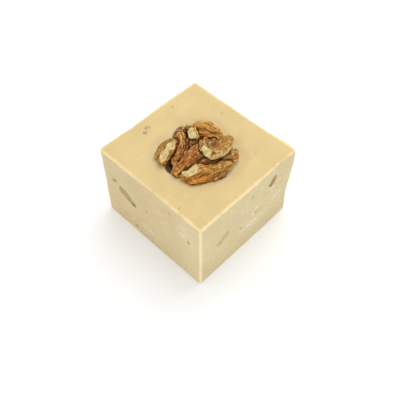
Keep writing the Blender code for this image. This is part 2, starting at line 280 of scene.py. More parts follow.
world = bpy.data.worlds.new("studio")
world.use_nodes = True
sky = world.node_tree.nodes["Background"]
sky.inputs["Color"].default_value = (1.0, 1.0, 1.0, 1.0)
sky.inputs["Strength"].default_value = SKY_STRENGTH
bpy.context.scene.world = world
bpy.context.scene.view_settings.view_transform = "Standard"
for lamp_name, lamp_settings in LAMPS.items():
    make_lamp(lamp_name, *lamp_settings)
print("lamps:", sorted(LAMPS))

# %% [markdown]
# ## Helpers for meshes
#
# Every piece follows the same path: a bmesh in millimetres, operators that give it its main form, then a
# smooth move of its points by a formula for the low relief that no operator gives. The finished mesh is
# scaled to metres once, hides the plain solid that it stands for, and rides on the part's one body.


# %% Pieces and modifiers
def finished(name, bm, material, node):
    """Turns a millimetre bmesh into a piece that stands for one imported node."""
    bmesh.ops.scale(bm, vec=Vector((MM,) * 3), verts=bm.verts)
    mesh = bpy.data.meshes.new(name)
    bm.to_mesh(mesh)
    bm.free()
    mesh.materials.append(material)
    mesh.polygons.foreach_set("use_smooth", [True] * len(mesh.polygons))
    piece = bpy.data.objects.new(name, mesh)
    bpy.context.scene.collection.objects.link(piece)
    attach(piece, "root")
    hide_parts(node)
    print(name, "has", len(mesh.polygons), "faces")


def baked(bm, modifiers):
    """Runs modifiers on a millimetre bmesh and gives back the result as a new bmesh."""
    mesh = bpy.data.meshes.new("work")
    bm.to_mesh(mesh)
    bm.free()
    work = bpy.data.objects.new("work", mesh)
    bpy.context.scene.collection.objects.link(work)
    for kind, settings in modifiers:
        modifier = work.modifiers.new(kind.lower(), kind)
        for key, value in settings.items():
            setattr(modifier, key, value)
    depsgraph = bpy.context.evaluated_depsgraph_get()
    made = bpy.data.meshes.new_from_object(work.evaluated_get(depsgraph))
    result = bmesh.new()
    result.from_mesh(made)
    bpy.data.objects.remove(work)
    bpy.data.meshes.remove(made)
    return result


print("pieces are scaled by", MM)


# %% Points, noise and paint
def points_of(bm):
    return np.array([vertex.co for vertex in bm.verts])


def put_points(bm, points):
    for vertex, point in zip(bm.verts, points):
        vertex.co = point


def normals_of(bm):
    bm.normal_update()
    return np.array([vertex.normal for vertex in bm.verts])


def smooth_step(low, high, value):
    t = np.clip((value - low) / (high - low), 0.0, 1.0)
    return t * t * (3.0 - 2.0 * t)


def soft_noise(points, size, octaves=3, seed=0.0):
    """Blender's own fractal noise at each point, roughly from -1 to 1, with blotches about size across."""
    shift = Vector((seed, 0.7 * seed, -0.4 * seed))
    places = (Vector(point) / size + shift for point in points)
    return np.array([noise.fractal(place, 1.0, 2.0, octaves) for place in places])


def paint(bm, name, values):
    """Stores one number per point as an attribute that a finish can read."""
    layer = bm.verts.layers.float.new(name)
    for vertex, value in zip(bm.verts, values):
        vertex[layer] = float(value)


sample_line = np.linspace((-20.0, -10.0, 0.0), (20.0, 10.0, 30.0), 200)
print("soft noise strays from 0 by up to", np.abs(soft_noise(sample_line, 2.0)).max().round(2))

# %% [markdown]
# ## The walnut half
#
# A walnut half is a folded sheet: rounded ridges with deep valleys between them. Each ridge is a chain of
# balls along a smooth path. Ridges of one fold flow into each other, while two folds meet in a sharp
# crease. Joining the balls with a voxel remesh gives a closed skin to start from. Metaballs would join
# them too, but they pull every neighbour together alike and lose the sharp creases.

# %% The folds of the walnut
# Each ball is (x, y, height of its middle over the fudge, radius), in millimetres.
WALNUT_FOLDS = {
    "left": {
        "left_ridge": [
            (-6.9, -3.9, 1.4, 1.4), (-6.1, -6.9, 1.8, 1.8), (-5.2, -10.2, 1.5, 1.8),
            (-4.6, -12.6, 0.7, 1.6),
        ],
        "left_flank": [(-8.9, -4.5, 0.3, 1.3), (-8.4, -8.4, 0.3, 1.8), (-7.5, -11.3, 0.0, 1.7)],
    },
    "inner": {
        "inner_ridge": [
            (-7.6, -1.1, 1.3, 1.7), (-5.6, -2.6, 1.3, 1.7), (-4.0, -5.2, 0.5, 1.6), (-2.8, -7.7, -0.4, 1.5),
            (-1.9, -9.1, -1.0, 1.3),
        ],
        "inner_slope": [(-4.2, -1.0, 0.1, 1.7), (-2.7, -3.8, 0.0, 1.8), (-1.3, -7.0, -0.5, 1.7)],
    },
    "valley": {
        "valley_floor": [(-2.1, 1.4, 0.6, 1.6), (-2.8, -0.7, 0.1, 1.7), (-2.1, -3.4, -0.3, 1.6)],
    },
    "rim": {
        "rim_sheet": [
            (-9.8, -1.5, -0.1, 1.1), (-10.5, 0.1, 0.1, 1.3), (-10.1, 2.2, 0.2, 1.4), (-8.9, 3.7, 0.4, 1.3),
        ],
    },
    "knob": {
        "back_knob": [(-5.5, 3.0, 1.9, 1.9), (-3.9, 2.0, 1.8, 1.9), (-2.4, 1.8, 0.9, 1.5)],
    },
    "hood": {
        "hood_ridge": [
            (-8.8, 4.1, 0.9, 1.4), (-7.0, 5.8, 1.5, 1.7), (-5.1, 8.0, 1.7, 1.9), (-2.6, 9.0, 1.6, 1.9),
            (-0.1, 9.6, 1.2, 1.7), (1.7, 9.5, 0.6, 1.5),
        ],
        "hood_tip": [(-6.1, 9.9, 0.5, 1.3), (-4.1, 10.6, 0.4, 1.5)],
        "hood_slope": [
            (-3.9, 5.5, 0.2, 1.8), (-2.1, 7.0, 0.3, 1.9), (-0.3, 8.2, 0.2, 1.7), (1.9, 8.6, 0.0, 1.5),
        ],
    },
    "high": {
        "high_left": [
            (1.2, 2.5, 3.2, 1.5), (2.8, 0.6, 3.5, 1.6), (4.8, -0.7, 3.6, 1.6), (6.8, -0.8, 3.7, 1.5),
            (8.1, 0.4, 3.7, 1.5),
        ],
        "high_right": [
            (8.1, 0.4, 3.7, 1.5), (8.4, 2.7, 3.6, 1.8), (8.1, 5.2, 3.4, 2.0), (7.1, 7.5, 2.8, 1.8),
        ],
        "high_inner": [(7.5, 2.5, 3.1, 1.5), (6.6, 4.6, 3.0, 1.7), (5.4, 6.8, 2.5, 1.8)],
        "high_top": [(4.8, 8.3, 1.8, 1.6), (6.3, 9.4, 2.0, 1.6)],
        "high_floor": [(5.6, 2.0, 1.8, 1.5), (3.7, 4.0, 1.0, 1.6), (1.9, 6.2, 0.1, 1.6)],
    },
    "root": {
        "high_root": [
            (3.8, -0.4, 1.4, 1.8), (6.8, 0.1, 1.6, 1.8), (7.9, 3.0, 1.4, 1.9), (7.6, 6.4, 1.0, 1.9),
        ],
    },
    "right_knob": {
        "right_knob": [(9.9, 2.7, 0.9, 1.9), (11.0, 4.5, 0.7, 1.9), (11.8, 5.9, 0.5, 1.7)],
    },
    "front": {
        "front_lobe": [
            (5.9, -11.5, 0.7, 1.8), (6.7, -9.9, 1.1, 2.2), (7.9, -7.8, 1.2, 2.3), (9.1, -5.9, 1.0, 2.2),
            (10.0, -4.7, 0.5, 2.0),
        ],
        "front_flank": [
            (6.9, -11.5, -0.2, 1.8), (8.6, -10.2, -0.3, 2.0), (10.2, -7.9, -0.3, 2.0),
            (11.1, -5.7, -0.3, 1.9),
        ],
        "right_lobe": [
            (11.0, -4.0, 0.5, 2.0), (11.7, -2.3, 0.8, 2.2), (12.3, 0.0, 0.9, 2.1), (12.7, 2.1, 0.7, 1.7),
        ],
        "right_flank": [(12.4, -4.2, -0.3, 1.8), (13.2, -1.8, -0.2, 1.8)],
    },
    "middle": {
        "middle_ridge": [
            (1.2, -0.7, 2.0, 1.7), (1.5, -4.5, 1.7, 2.0), (2.1, -8.0, 1.1, 2.1), (2.3, -10.9, 0.4, 1.9),
            (2.3, -12.4, -0.2, 1.5),
        ],
        "middle_side": [
            (3.6, -1.0, 1.3, 2.0), (3.6, -4.2, 1.0, 2.0), (3.5, -7.0, 0.4, 1.8), (3.8, -9.7, -0.2, 1.5),
        ],
    },
    "cross": {
        "cross_slope": [(4.9, -4.3, 0.1, 1.9), (6.6, -2.3, 0.3, 2.0), (8.4, -0.7, 0.3, 1.8)],
    },
}
# The rounded back of the half, sunk in the fudge: middle of the ball and its three half lengths.
WALNUT_BACK = ((1.5, -0.6, -2.6), (10.9, 10.8, 3.0))
# From one ball of a path to the next, as a share of the ball's radius.
BALL_STEP = 0.3


def along_chain(points, spacing=BALL_STEP):
    """Balls on a smooth path through the chain, as rows of (x, y, z, radius)."""
    rows = [np.array(point) for point in points]
    rows = [2 * rows[0] - rows[1], *rows, 2 * rows[-1] - rows[-2]]
    made = [rows[1]]
    for before, start, end, after in zip(rows, rows[1:], rows[2:], rows[3:]):
        steps = max(1, math.ceil(np.linalg.norm(end - start) / (spacing * start[3])))
        for step in range(1, steps + 1):
            t = step / steps
            bend = 2 * before - 5 * start + 4 * end - after
            twist = 3 * start - before - 3 * end + after
            made.append(0.5 * (2 * start + (end - before) * t + bend * t**2 + twist * t**3))
    made = np.array(made)
    made[:, 2] += TOP
    return made


FOLDS = {
    fold: {name: along_chain(points) for name, points in ridges.items()}
    for fold, ridges in WALNUT_FOLDS.items()
}
RIDGES = {name: rows for ridges in FOLDS.values() for name, rows in ridges.items()}
print("ridges:", len(RIDGES), "balls:", sum(len(rows) for rows in RIDGES.values()))


# %% Join the ridges
WALNUT_VOXEL = 0.25


def add_balls(bm, rows):
    for x, y, z, radius in rows:
        place = Matrix.Translation((x, y, z))
        bmesh.ops.create_icosphere(bm, subdivisions=3, radius=radius, matrix=place)


def joined(bm, voxel):
    """All that overlaps in the bmesh as one closed skin, with its steps smoothed."""
    return baked(bm, [("REMESH", {"mode": "VOXEL", "voxel_size": voxel}), ("SMOOTH", {"iterations": 2})])


def walnut_skin():
    """All the balls and the sunk back as one closed skin, in millimetres."""
    bm = bmesh.new()
    for rows in RIDGES.values():
        add_balls(bm, rows)
    (x, y, height), half_lengths = WALNUT_BACK
    place = Matrix.Translation((x, y, TOP + height)) @ Matrix.Diagonal((*half_lengths, 1.0))
    bmesh.ops.create_icosphere(bm, subdivisions=5, radius=1.0, matrix=place)
    return joined(bm, WALNUT_VOXEL)


walnut = walnut_skin()
print("walnut skin:", len(walnut.verts), "points")

# %% [markdown]
# ## Settle the skin on the folds
#
# The remeshed skin shows the balls it came from. A smooth minimum of the distances to the ridges gives a
# better form: within a fold the ridges melt together, and between folds the minimum is nearly sharp. The
# balls' places are also shaken a little by noise, since nothing in a nut is straight. Each point of the
# skin then slides along the slope of this distance until it reads zero.

# %% Distance to the walnut
FOLD_BLEND = 0.9
CREASE_BLEND = 0.35
BREAK_BLEND = 0.1
SHAKE_SIZE = 3.2
SHAKE = 0.55
# Flat breaks, where the skin is rubbed off and the flesh shows, by the fold that each one cuts:
# (x, y, height over the fudge, lean to +x, lean to +y, radius).
BREAKS = {
    "left": [(-5.8, -5.9, 3.05, 0.15, -0.40, 1.6), (-4.8, -10.9, 2.55, 0.10, -0.50, 2.1)],
    "knob": [(-4.7, 2.1, 3.15, -0.20, -0.45, 2.6)],
    "high": [(5.5, -1.6, 4.60, 0.05, -0.60, 2.0)],
    "front": [(7.2, -9.3, 2.80, -0.35, -0.30, 3.1)],
}
# How steeply a break bends away past its radius.
BREAK_END = 1.3


def smooth_min(first, second, blend):
    share = np.clip(0.5 + 0.5 * (second - first) / blend, 0.0, 1.0)
    return second * (1 - share) + first * share - blend * share * (1 - share)


def chain_distance(points, rows):
    return (np.linalg.norm(points[:, None, :] - rows[None, :, :3], axis=2) - rows[:, 3]).min(axis=1)


def back_distance(points):
    middle, half_lengths = (np.array(part) for part in WALNUT_BACK)
    scaled = (points - middle - (0, 0, TOP)) / half_lengths
    return (np.linalg.norm(scaled, axis=1) - 1.0) * half_lengths.min()


def break_distance(points, fold):
    """How far a point is outside the fold's break planes, which bend away past their radius."""
    reaches = [np.full(len(points), -9.0)]
    for x, y, height, lean_x, lean_y, radius in BREAKS.get(fold, ()):
        outward = np.array([lean_x, lean_y, 1.0])
        outward /= np.linalg.norm(outward)
        offset = points - np.array([x, y, TOP + height])
        out = offset @ outward
        sideways = np.linalg.norm(offset - out[:, None] * outward, axis=1)
        reaches.append(out - BREAK_END * np.maximum(0.0, sideways - radius))
    return np.max(reaches, axis=0)


def fold_distances(points):
    """Rows of points by columns of folds."""
    columns = []
    for fold, ridges in FOLDS.items():
        total = None
        for rows in ridges.values():
            reach = chain_distance(points, rows)
            total = reach if total is None else smooth_min(total, reach, FOLD_BLEND)
        columns.append(-smooth_min(-total, -break_distance(points, fold), BREAK_BLEND))
    return np.array(columns).T


def walnut_distance(points):
    total = back_distance(points)
    for column in fold_distances(points).T:
        total = smooth_min(total, column, CREASE_BLEND)
    return total


stray = walnut_distance(points_of(walnut))
print("joined skin is off by", stray.min().round(2), "to", stray.max().round(2), "mm")

# %% Slide the skin
# The slope is measured over a short step, and no point slides further than this at once.
PROBE = 0.02
MOST_SLIDE = 0.5
SETTLE_STEPS = 3


def settle(points):
    """Slides points to where the distance is zero. Gives them and how far noise shook each one's place."""
    shake = SHAKE * np.array([soft_noise(points, SHAKE_SIZE, 2, seed) for seed in (1.0, 21.0, 41.0)]).T
    for _ in range(SETTLE_STEPS):
        here = walnut_distance(points + shake)
        slope = [(walnut_distance(points + shake + PROBE * axis) - here) / PROBE for axis in np.eye(3)]
        slope = np.array(slope).T
        steep = np.maximum((slope**2).sum(axis=1), 0.25)
        points = points - np.clip(here / steep, -MOST_SLIDE, MOST_SLIDE)[:, None] * slope
    return points, shake


settled, shake = settle(points_of(walnut))
put_points(walnut, settled)
print("settled", len(settled), "points")

# %% [markdown]
# ## Where each point lies on the nut
#
# The finish needs to know which ridge a point belongs to, how far along it and how far across. The skin of a
# walnut wrinkles along its ridges, so noise that runs slowly along a ridge and fast across it gives the
# wrinkles. Where the nearest two folds are equally far, there is a crease. Where the skin was rubbed off,
# one of the flat breaks is the nearest surface. All this is measured once and kept as numbers per point.

# %% Which ridge is where
STREAK_WIDTH = 0.8
STREAK_LENGTH = 4.0
# Each ridge reads another stretch of the noise, this far from the last one's.
STREAK_SHIFT = 7.3


def ridge_places(points):
    """The nearest ridge of each point, as places that run slowly along a ridge and fast across it."""
    places = np.zeros((len(points), 3))
    nearest = np.full(len(points), 1e9)
    reaches = np.zeros((len(points), len(RIDGES)))
    for column, rows in enumerate(RIDGES.values()):
        middles = rows[:, :3]
        reach = np.linalg.norm(points[:, None, :] - middles[None], axis=2) - rows[:, 3]
        best = reach.argmin(axis=1)
        reaches[:, column] = reach[np.arange(len(points)), best]
        steps = np.linalg.norm(np.diff(middles, axis=0), axis=1)
        along = np.concatenate([[0.0], np.cumsum(steps)])[best]
        heading = np.gradient(middles, axis=0)[best]
        heading /= np.linalg.norm(heading, axis=1)[:, None]
        offset = points - middles[best]
        across = offset - (offset * heading).sum(axis=1)[:, None] * heading
        closer = reaches[:, column] < nearest
        nearest[closer] = reaches[closer, column]
        found = across / STREAK_WIDTH + heading * (along / STREAK_LENGTH)[:, None] + STREAK_SHIFT * column
        places[closer] = found[closer]
    return reaches, places


shaken = points_of(walnut) + shake
reaches, streak_places = ridge_places(shaken)
streaks = np.array([noise.fractal(Vector(place), 1.0, 2.0, 3) for place in streak_places])
print("streaks from", streaks.min().round(2), "to", streaks.max().round(2))

# %% Creases and rubbed spots
by_fold = fold_distances(shaken)
breaks = np.array([break_distance(shaken, fold) for fold in FOLDS]).T
outer_fold = by_fold.argmin(axis=1)
rubbed = smooth_step(-0.16, -0.04, breaks[np.arange(len(breaks)), outer_fold])
folds = np.sort(by_fold, axis=1)
crease = np.exp(-(((folds[:, 1] - folds[:, 0]) / 0.5) ** 2))
shares = [round(float((mask > 0.5).mean()), 3) for mask in (rubbed, crease)]
print("rubbed share", shares[0], "crease share", shares[1])


# %% [markdown]
# ## Hollows and crests
#
# Crests are painted lighter, a painted highlight, and hollows darker, a painted shade. A point's height over
# the smoothed skin tells the two apart. A few rounds of smoothing find the fine wrinkles, and many rounds find
# whole ridges. A pointiness node would do the same in one renderer only, while these values travel with the
# mesh. Some ridges were broken to a grainy crumb, and each point's share of those is measured here too.

# %% Crests and grainy ridges
def spread(bm, values, rounds):
    """Averages a value with its neighbours, again and again."""
    ends = np.array([[vertex.index for vertex in edge.verts] for edge in bm.edges])
    count = np.bincount(ends.ravel(), minlength=len(values))[:, None]
    for _ in range(rounds):
        total = np.zeros_like(values)
        np.add.at(total, ends[:, 0], values[ends[:, 1]])
        np.add.at(total, ends[:, 1], values[ends[:, 0]])
        values = 0.5 * values + 0.5 * total / count
    return values


def crests(bm, rounds):
    """How far each point stands out of the smoothed skin, in millimetres."""
    bm.verts.ensure_lookup_table()
    bm.verts.index_update()
    points = points_of(bm)
    return ((points - spread(bm, points, rounds)) * normals_of(bm)).sum(axis=1)


GRAINY_RIDGES = ("high_right", "high_inner", "high_floor", "high_top", "right_lobe", "left_flank")
RIDGE_NAMES = list(RIDGES)
RIDGE_BLEND = 0.35


def ridge_shares():
    """How much of each point belongs to each ridge, blending where ridges meet."""
    weights = np.exp(-(reaches - reaches.min(axis=1)[:, None]) / RIDGE_BLEND)
    return weights / weights.sum(axis=1)[:, None]


grainy = ridge_shares()[:, [RIDGE_NAMES.index(name) for name in GRAINY_RIDGES]].sum(axis=1)
print("grainy share", round(float(grainy.mean()), 3))


# %% [markdown]
# ## The wrinkled skin
#
# The wrinkles are real relief, so they catch the light and stand out at the rim: lumps, knobbles and streaks
# along the ridges, a granular crumb where the nut was broken, and a deeper line in each crease.

# %% Move the skin
def detail_walnut(bm):
    points = points_of(bm)
    normals = normals_of(bm)
    lumps = soft_noise(points, 1.9, 3, seed=3.0)
    knobbles = soft_noise(points, 0.75, 3, seed=5.0)
    crumb = soft_noise(points, 0.5, 2, seed=9.0)
    push = (0.20 * lumps + 0.14 * knobbles) * (1 - 0.9 * rubbed)
    push += 0.36 * streaks * (1 - rubbed) * (1 - 0.6 * grainy)
    push += 0.14 * crumb * np.maximum(grainy, 0.4 * rubbed)
    push -= 0.35 * crease
    put_points(bm, points + normals * push[:, None])


detail_walnut(walnut)
crest = crests(walnut, 30)
fine_crest = crests(walnut, 5)
print("crests stand out by", crest.max().round(2), "mm and wrinkles by", fine_crest.max().round(2), "mm")

# %% Paint the nut's masks
# Where the high fold was broken, its lower outer rim shows a ragged cream edge. It faces these two ways.
RIM_FACINGS = np.array([[0.66, -0.67, -0.34], [0.92, -0.20, -0.34]])
RIM_BOTTOM = TOP + 0.8
DIPPED_TOP = TOP - 0.8


def torn_rim(points):
    on_high = np.exp(-np.maximum(by_fold[:, list(FOLDS).index("high")] - by_fold.min(axis=1), 0.0) / 0.2)
    facing = (normals_of(walnut) @ RIM_FACINGS.T).max(axis=1) + 0.30 * soft_noise(points, 1.2, 3, seed=21.0)
    return smooth_step(0.46, 0.68, facing) * on_high * (points[:, 2] > RIM_BOTTOM)


# The skin just above the fudge is painted darker, a painted contact shade.
def contact_shade(points):
    over_fudge = points[:, 2] - DIPPED_TOP + 0.5 * soft_noise(points, 1.5, 2, seed=23.0)
    return 1.0 - smooth_step(-0.4, 1.0, over_fudge)


skin_points = points_of(walnut)
WALNUT_MASKS = {
    "torn_rim": torn_rim(skin_points),
    "low": contact_shade(skin_points),
    "crest": crest,
    "fine_crest": fine_crest,
    "crease": crease,
    "rubbed": rubbed,
    "grainy": grainy,
    "streaks": streaks,
}
for mask_name, mask in WALNUT_MASKS.items():
    paint(walnut, mask_name, mask)
print("masks of the nut:", list(WALNUT_MASKS))

# %% [markdown]
# ## Tints of the nut
#
# A walnut is not one brown. Ridges that saw the air are tan and gold, the protected sides are honey brown to
# orange, and the valleys are a dull reddish brown. Each ridge gets one of a few named tints, and the tints
# blend where ridges meet. What lies away from every ridge is in a valley and is painted dark, partly the
# valley skin's own darker brown and partly painted shade.

# %% Tints by ridge
TINTS = {
    "bark": srgb(138, 94, 36),
    "tan": srgb(168, 118, 46),
    "gold": srgb(184, 131, 46),
    "amber": srgb(200, 146, 60),
    "honey": srgb(170, 102, 32),
    "orange": srgb(188, 110, 22),
    "chestnut": srgb(140, 79, 25),
    "mauve": srgb(122, 64, 28),
    "dark": srgb(88, 40, 12),
}
RIDGE_TINTS = {
    "left_ridge": "tan",
    "left_flank": "bark",
    "inner_ridge": "honey",
    "inner_slope": "mauve",
    "valley_floor": "mauve",
    "rim_sheet": "mauve",
    "back_knob": "gold",
    "hood_ridge": "amber",
    "hood_tip": "gold",
    "hood_slope": "orange",
    "high_left": "tan",
    "high_right": "tan",
    "high_inner": "bark",
    "high_top": "tan",
    "high_floor": "bark",
    "high_root": "honey",
    "right_knob": "tan",
    "front_lobe": "gold",
    "front_flank": "orange",
    "right_lobe": "tan",
    "right_flank": "bark",
    "middle_ridge": "honey",
    "middle_side": "chestnut",
    "cross_slope": "chestnut",
}


def skin_tints():
    tints = ridge_shares() @ np.array([TINTS[RIDGE_TINTS[name]] for name in RIDGE_NAMES])
    # Away from every ridge the skin is painted dark: partly the valley's own darker brown, partly painted
    # shade.
    floor = smooth_step(0.1, 0.9, reaches.min(axis=1))[:, None]
    return tints * (1 - floor) + np.array(TINTS["dark"]) * floor


def paint_colour(bm, name, colours):
    layer = bm.verts.layers.float_color.new(name)
    for vertex, colour in zip(bm.verts, colours):
        vertex[layer] = (*colour, 1.0)


paint_colour(walnut, "tint", skin_tints())
print("tints used:", sorted(set(RIDGE_TINTS.values())))


# %% [markdown]
# ## The nut's finish
#
# The tint comes first. The wrinkles lighten it on their raised lines, a painted highlight, and darken it in
# their grooves, partly the skin's own veins and partly painted shade. Crests get a painted highlight, and
# hollows and creases a painted shade, at two scales. The skin just above the fudge gets a painted contact
# shade. Rubbed spots show the cream flesh under the skin. The skin is slightly oily, so it is smoother than
# the broken flesh, and a clear coat on its crests gives the small wet glints. A little light passes through
# the thin rims.

# %% Walnut finish
def walnut_finish():
    finish = Finish("walnut_skin")
    tint = finish.attribute("tint", output="Color")
    crest_field, fine_field, streak = finish.attributes("crest", "fine_crest", "streaks")
    crease_mask, rubbed_mask, grainy_mask = finish.attributes("crease", "rubbed", "grainy")
    torn_mask, contact_shade_mask = finish.attributes("torn_rim", "low")
    blotch = finish.noise(1.6)
    speckle = finish.noise(0.35, roughness=0.6)
    # Painted highlight on the wrinkles' raised lines; the darker grooves are partly the skin's own veins and
    # partly painted shade.
    colour = finish.mix(streak.between(0.05, 0.5) * 0.45, tint, srgb(220, 176, 88))
    colour = finish.mix(streak.between(0.0, -0.5) * 0.6, colour, srgb(110, 54, 16))
    colour = finish.mix(blotch.between(0.6, 0.42) * 0.25, colour, srgb(140, 78, 26))
    colour = finish.mix(speckle.between(0.5, 0.72) * grainy_mask * 0.5, colour, srgb(224, 186, 104))
    colour = finish.mix(speckle.between(0.44, 0.3) * grainy_mask * 0.25, colour, srgb(120, 76, 32))
    # Painted highlight on the crests and painted shade in the hollows, at two scales.
    colour = finish.mix(crest_field.between(0.10, 0.45) * 0.4, colour, srgb(220, 178, 92))
    colour = finish.mix(crest_field.between(0.0, -0.4) * 0.75, colour, srgb(104, 50, 16))
    colour = finish.mix(fine_field.between(0.02, 0.13) * 0.6, colour, srgb(230, 190, 108))
    colour = finish.mix(fine_field.between(-0.02, -0.11) * 0.5, colour, srgb(92, 42, 12))
    # Painted shade in the creases where two folds meet.
    colour = finish.mix(crease_mask * 0.7, colour, srgb(84, 38, 14))
    flesh = finish.mix(blotch.between(0.35, 0.65), srgb(204, 178, 116), srgb(230, 214, 160))
    flesh = finish.mix(speckle.between(0.5, 0.3) * 0.5, flesh, srgb(176, 136, 76))
    # Painted contact shade on the skin just above the fudge.
    colour = finish.mix(contact_shade_mask * 0.6, colour, srgb(98, 52, 16))
    colour = finish.mix(torn_mask * blotch.between(0.25, 0.45), colour, flesh)
    colour = finish.mix(rubbed_mask, colour, flesh)
    return finish.surface(
        Base_Color=colour,
        Roughness=0.32 + 0.22 * grainy_mask + 0.15 * rubbed_mask + 0.1 * blotch,
        Coat_Weight=crest_field.between(0.0, 0.25) * (1 - rubbed_mask) * (0.6 - 0.3 * grainy_mask),
        Normal=finish.bumps((speckle, 0.06)),
        Specular_IOR_Level=0.15,
        Coat_Roughness=0.22,
        Subsurface_Weight=0.2,
        Subsurface_Radius=(1.0, 0.5, 0.25),
        Subsurface_Scale=1.2 * MM,
    )


walnut_tree = BVHTree.FromBMesh(walnut)
nut_for_hole = walnut.copy()
finished("walnut_half_nut", walnut, walnut_finish(), "walnut_half")

# %% [markdown]
# ## The fudge block
#
# A knife cut the sides, so they are nearly flat, with a fine crumb. The top set in the tray, so it is
# smooth. A plain box with rounded edges gets a grid of cuts, a simple subdivision for enough points, and
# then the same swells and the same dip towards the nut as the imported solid, with finer relief on top.

# %% Sizes of the block's unevenness
# Gaussian swells of the sides: (place along the side, height, half width, half height, outward push).
SIDE_SWELLS = {
    "front": [(1, 34, 9, 12, -0.4), (25, 30, 6, 16, 0.3), (0, 0, 40, 14, 0.35)],
    "right": [(-24, 34, 12, 14, 0.4), (20, 34, 12, 8, -0.7), (24, 30, 5, 7, 0.7), (24, 9, 8, 12, -0.6)],
    "back": [(-12, 34, 3, 10, -0.4), (4, 34, 9, 14, -0.3), (20, 32, 5, 14, 0.5), (24, 9, 8, 12, -0.5)],
    "left": [(-9.5, 34, 3, 12, -0.5), (-2.5, 34, 3, 9, -0.3), (12, 30, 10, 14, 0.35)],
}
SIDE_AXES = {
    "front": (np.array([0.0, -1.0, 0.0]), np.array([1.0, 0.0, 0.0])),
    "right": (np.array([1.0, 0.0, 0.0]), np.array([0.0, 1.0, 0.0])),
    "back": (np.array([0.0, 1.0, 0.0]), np.array([1.0, 0.0, 0.0])),
    "left": (np.array([-1.0, 0.0, 0.0]), np.array([0.0, 1.0, 0.0])),
}
GRID = 2.0
RIM_SEGMENTS = 5
UPRIGHT_SEGMENTS = 4
BASE_SEGMENTS = 3


def side_swell(side, along, height):
    total = np.zeros(np.broadcast(along, height).shape)
    for at, up, half_width, half_height, push in SIDE_SWELLS[side]:
        reach = ((along - at) / half_width) ** 2 + ((height - up) / half_height) ** 2
        total += push * np.exp(-reach)
    return total


print("swells:", {side: len(swells) for side, swells in SIDE_SWELLS.items()})


# %% Box with rounded edges
NEARLY = 1e-4


def bevel_edges(bm, edges, radius, segments):
    settings = {"segments": segments, "profile": 0.5, "affect": "EDGES", "material": -1}
    bmesh.ops.bevel(bm, geom=edges, offset=radius, **settings)


def rounded_box():
    bm = bmesh.new()
    bmesh.ops.create_cube(bm, size=1.0)
    bmesh.ops.scale(bm, vec=Vector((WIDTH, DEPTH, TOP)), verts=bm.verts)
    bmesh.ops.translate(bm, vec=Vector((0, 0, TOP / 2)), verts=bm.verts)
    for (side_x, side_y), radius in UPRIGHT_RADII.items():
        upright = [
            edge
            for edge in bm.edges
            if all(v.co.x * side_x > 0.49 * WIDTH and v.co.y * side_y > 0.49 * DEPTH for v in edge.verts)
            and abs(edge.verts[0].co.z - edge.verts[1].co.z) > 1.0
        ]
        bevel_edges(bm, upright, radius, UPRIGHT_SEGMENTS)
    for height, radius, segments in ((TOP, RIM_RADIUS, RIM_SEGMENTS), (0.0, BASE_RADIUS, BASE_SEGMENTS)):
        rim = [edge for edge in bm.edges if all(abs(v.co.z - height) < NEARLY for v in edge.verts)]
        bevel_edges(bm, rim, radius, segments)
    return bm


def slice_grid(bm):
    """Cuts the box into cells of about GRID millimetres, so that its flat faces can bend."""
    for axis, length in enumerate((WIDTH, DEPTH, TOP)):
        low = 0.0 if axis == 2 else -length / 2
        count = round(length / GRID)
        for step in range(1, count):
            place = Vector()
            place[axis] = low + length * step / count
            direction = Vector()
            direction[axis] = 1.0
            everything = bm.verts[:] + bm.edges[:] + bm.faces[:]
            bmesh.ops.bisect_plane(bm, geom=everything, plane_co=place, plane_no=direction)


block = rounded_box()
slice_grid(block)
block = baked(block, [("SUBSURF", {"subdivision_type": "SIMPLE", "levels": 2, "render_levels": 2})])
print("block grid:", len(block.verts), "points")

# %% [markdown]
# ## Relief of the fudge
#
# The swells come first, then the dip. The warm fudge sank towards the nut, so the top falls smoothly over
# the last few millimetres before it. The distance to the nut is measured to its real skin, so the dip
# follows its outline. The cut sides get a crumbly relief, and the rounded rims a little wear.

# %% The dip and the dents
DIP_DEPTH = 0.8
DIP_REACH = 3.6
DIP_START = 0.3
# Deeper dents where the fudge stood back from the nut: (x, y, reach, depth).
TOP_DENTS = [(5.5, 12.5, 4.2, 0.8), (-11.6, -7.0, 3.2, 0.4), (-9.5, 9.5, 3.4, 0.4), (14.6, 8.0, 3.4, 0.4)]


def nut_distance(points):
    """Millimetres from each point to the walnut's skin."""
    return np.array([walnut_tree.find_nearest(Vector(point))[3] for point in points])


def dents(points):
    """How far the dents in the top lower each point."""
    fall = np.zeros(len(points))
    for x, y, reach, depth in TOP_DENTS:
        fall += depth * np.exp(-((points[:, 0] - x) ** 2 + (points[:, 1] - y) ** 2) / reach**2)
    return fall


def side_reach(outward):
    """From the block's middle to the side that faces outward."""
    return (WIDTH if outward[0] else DEPTH) / 2


def shape_block(bm):
    points = points_of(bm)
    moved = points.copy()
    for side, (outward, along) in SIDE_AXES.items():
        nearness = np.clip((points @ outward / side_reach(outward) - 0.8) / 0.2, 0.0, 1.0)
        moved += outward * (nearness * side_swell(side, points @ along, points[:, 2]))[:, None]
    on_top = points[:, 2] > TOP - 0.05
    near = np.zeros(len(points))
    near[on_top] = 1.0 - np.clip((nut_distance(moved[on_top]) - DIP_START) / DIP_REACH, 0.0, 1.0)
    moved[:, 2] -= DIP_DEPTH * near**2 * (3 - 2 * near)
    moved[:, 2] -= on_top * dents(points)
    put_points(bm, moved)


shape_block(block)
print("block stands", points_of(block)[:, 2].max().round(2), "mm high")

